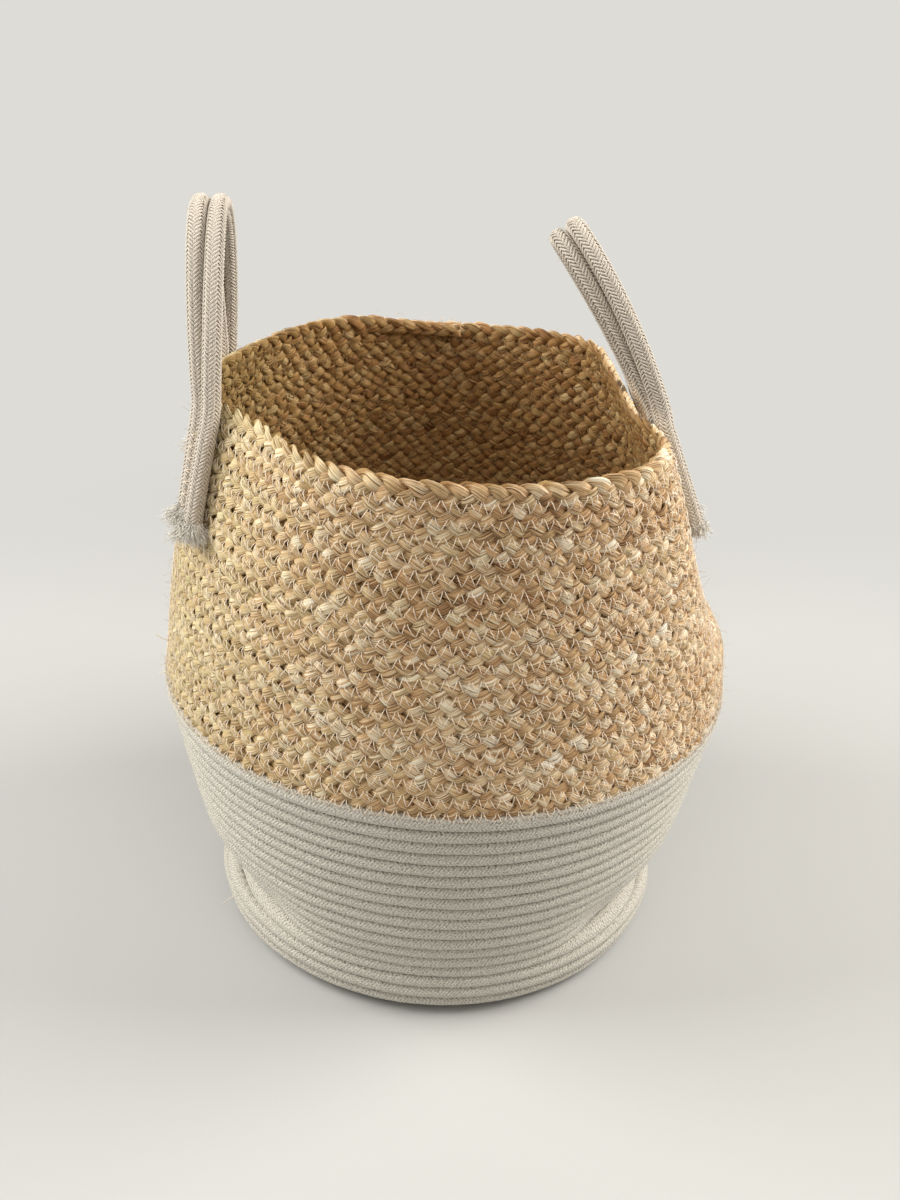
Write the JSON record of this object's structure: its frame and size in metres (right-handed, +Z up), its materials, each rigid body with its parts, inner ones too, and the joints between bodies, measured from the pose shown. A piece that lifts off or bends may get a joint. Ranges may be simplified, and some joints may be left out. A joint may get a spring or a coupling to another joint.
{
  "type": "woven planter basket",
  "caption": "Round-bellied planter basket: coiled cotton cord foot, braided raffia upper wall and a pair of sewn cotton cord handles.",
  "frame": {"origin": "centre of the flat base, on the floor", "axes": "+Z up through the mouth; -Y is the pictured front; the handles stand at -X and +X"},
  "size_m": [0.3702, 0.3702, 0.474],
  "materials": {
    "cotton_coil": "matt off-white braided cotton cord",
    "raffia": "natural tan braided raffia",
    "cotton_handle": "matt natural braided cotton cord",
    "sewing_thread": "off-white sewing thread"
  },
  "bodies": {
    "basket": {"cotton_base": "cotton_coil", "cotton_wall": "cotton_coil", "raffia_wall": "raffia", "seam_thread": "sewing_thread", "left_front_leg_long_cord": "cotton_handle", "left_back_leg_long_cord": "cotton_handle", "left_front_leg_short_cord": "cotton_handle", "left_back_leg_short_cord": "cotton_handle", "left_front_leg_thread": "sewing_thread", "left_back_leg_thread": "sewing_thread", "right_front_leg_long_cord": "cotton_handle", "right_back_leg_long_cord": "cotton_handle", "right_front_leg_short_cord": "cotton_handle", "right_back_leg_short_cord": "cotton_handle", "right_front_leg_thread": "sewing_thread", "right_back_leg_thread": "sewing_thread"},
    "left_handle": {"left_loop_long_cord": "cotton_handle", "left_loop_short_cord": "cotton_handle"},
    "right_handle": {"right_loop_long_cord": "cotton_handle", "right_loop_short_cord": "cotton_handle"}
  },
  "joints": [
    {"name": "left_handle_swing", "type": "hinge", "parent": "basket", "child": "left_handle", "pos_m": [-0.13984, -0.067, 0.3705], "axis": [-0.0802, 0.9968, 0], "range_deg": [-68, 66]},
    {"name": "right_handle_swing", "type": "hinge", "parent": "basket", "child": "right_handle", "pos_m": [0.11646, -0.04115, 0.3705], "axis": [-0.1299, 0.9915, 0], "range_deg": [-46, 104]}
  ]
}
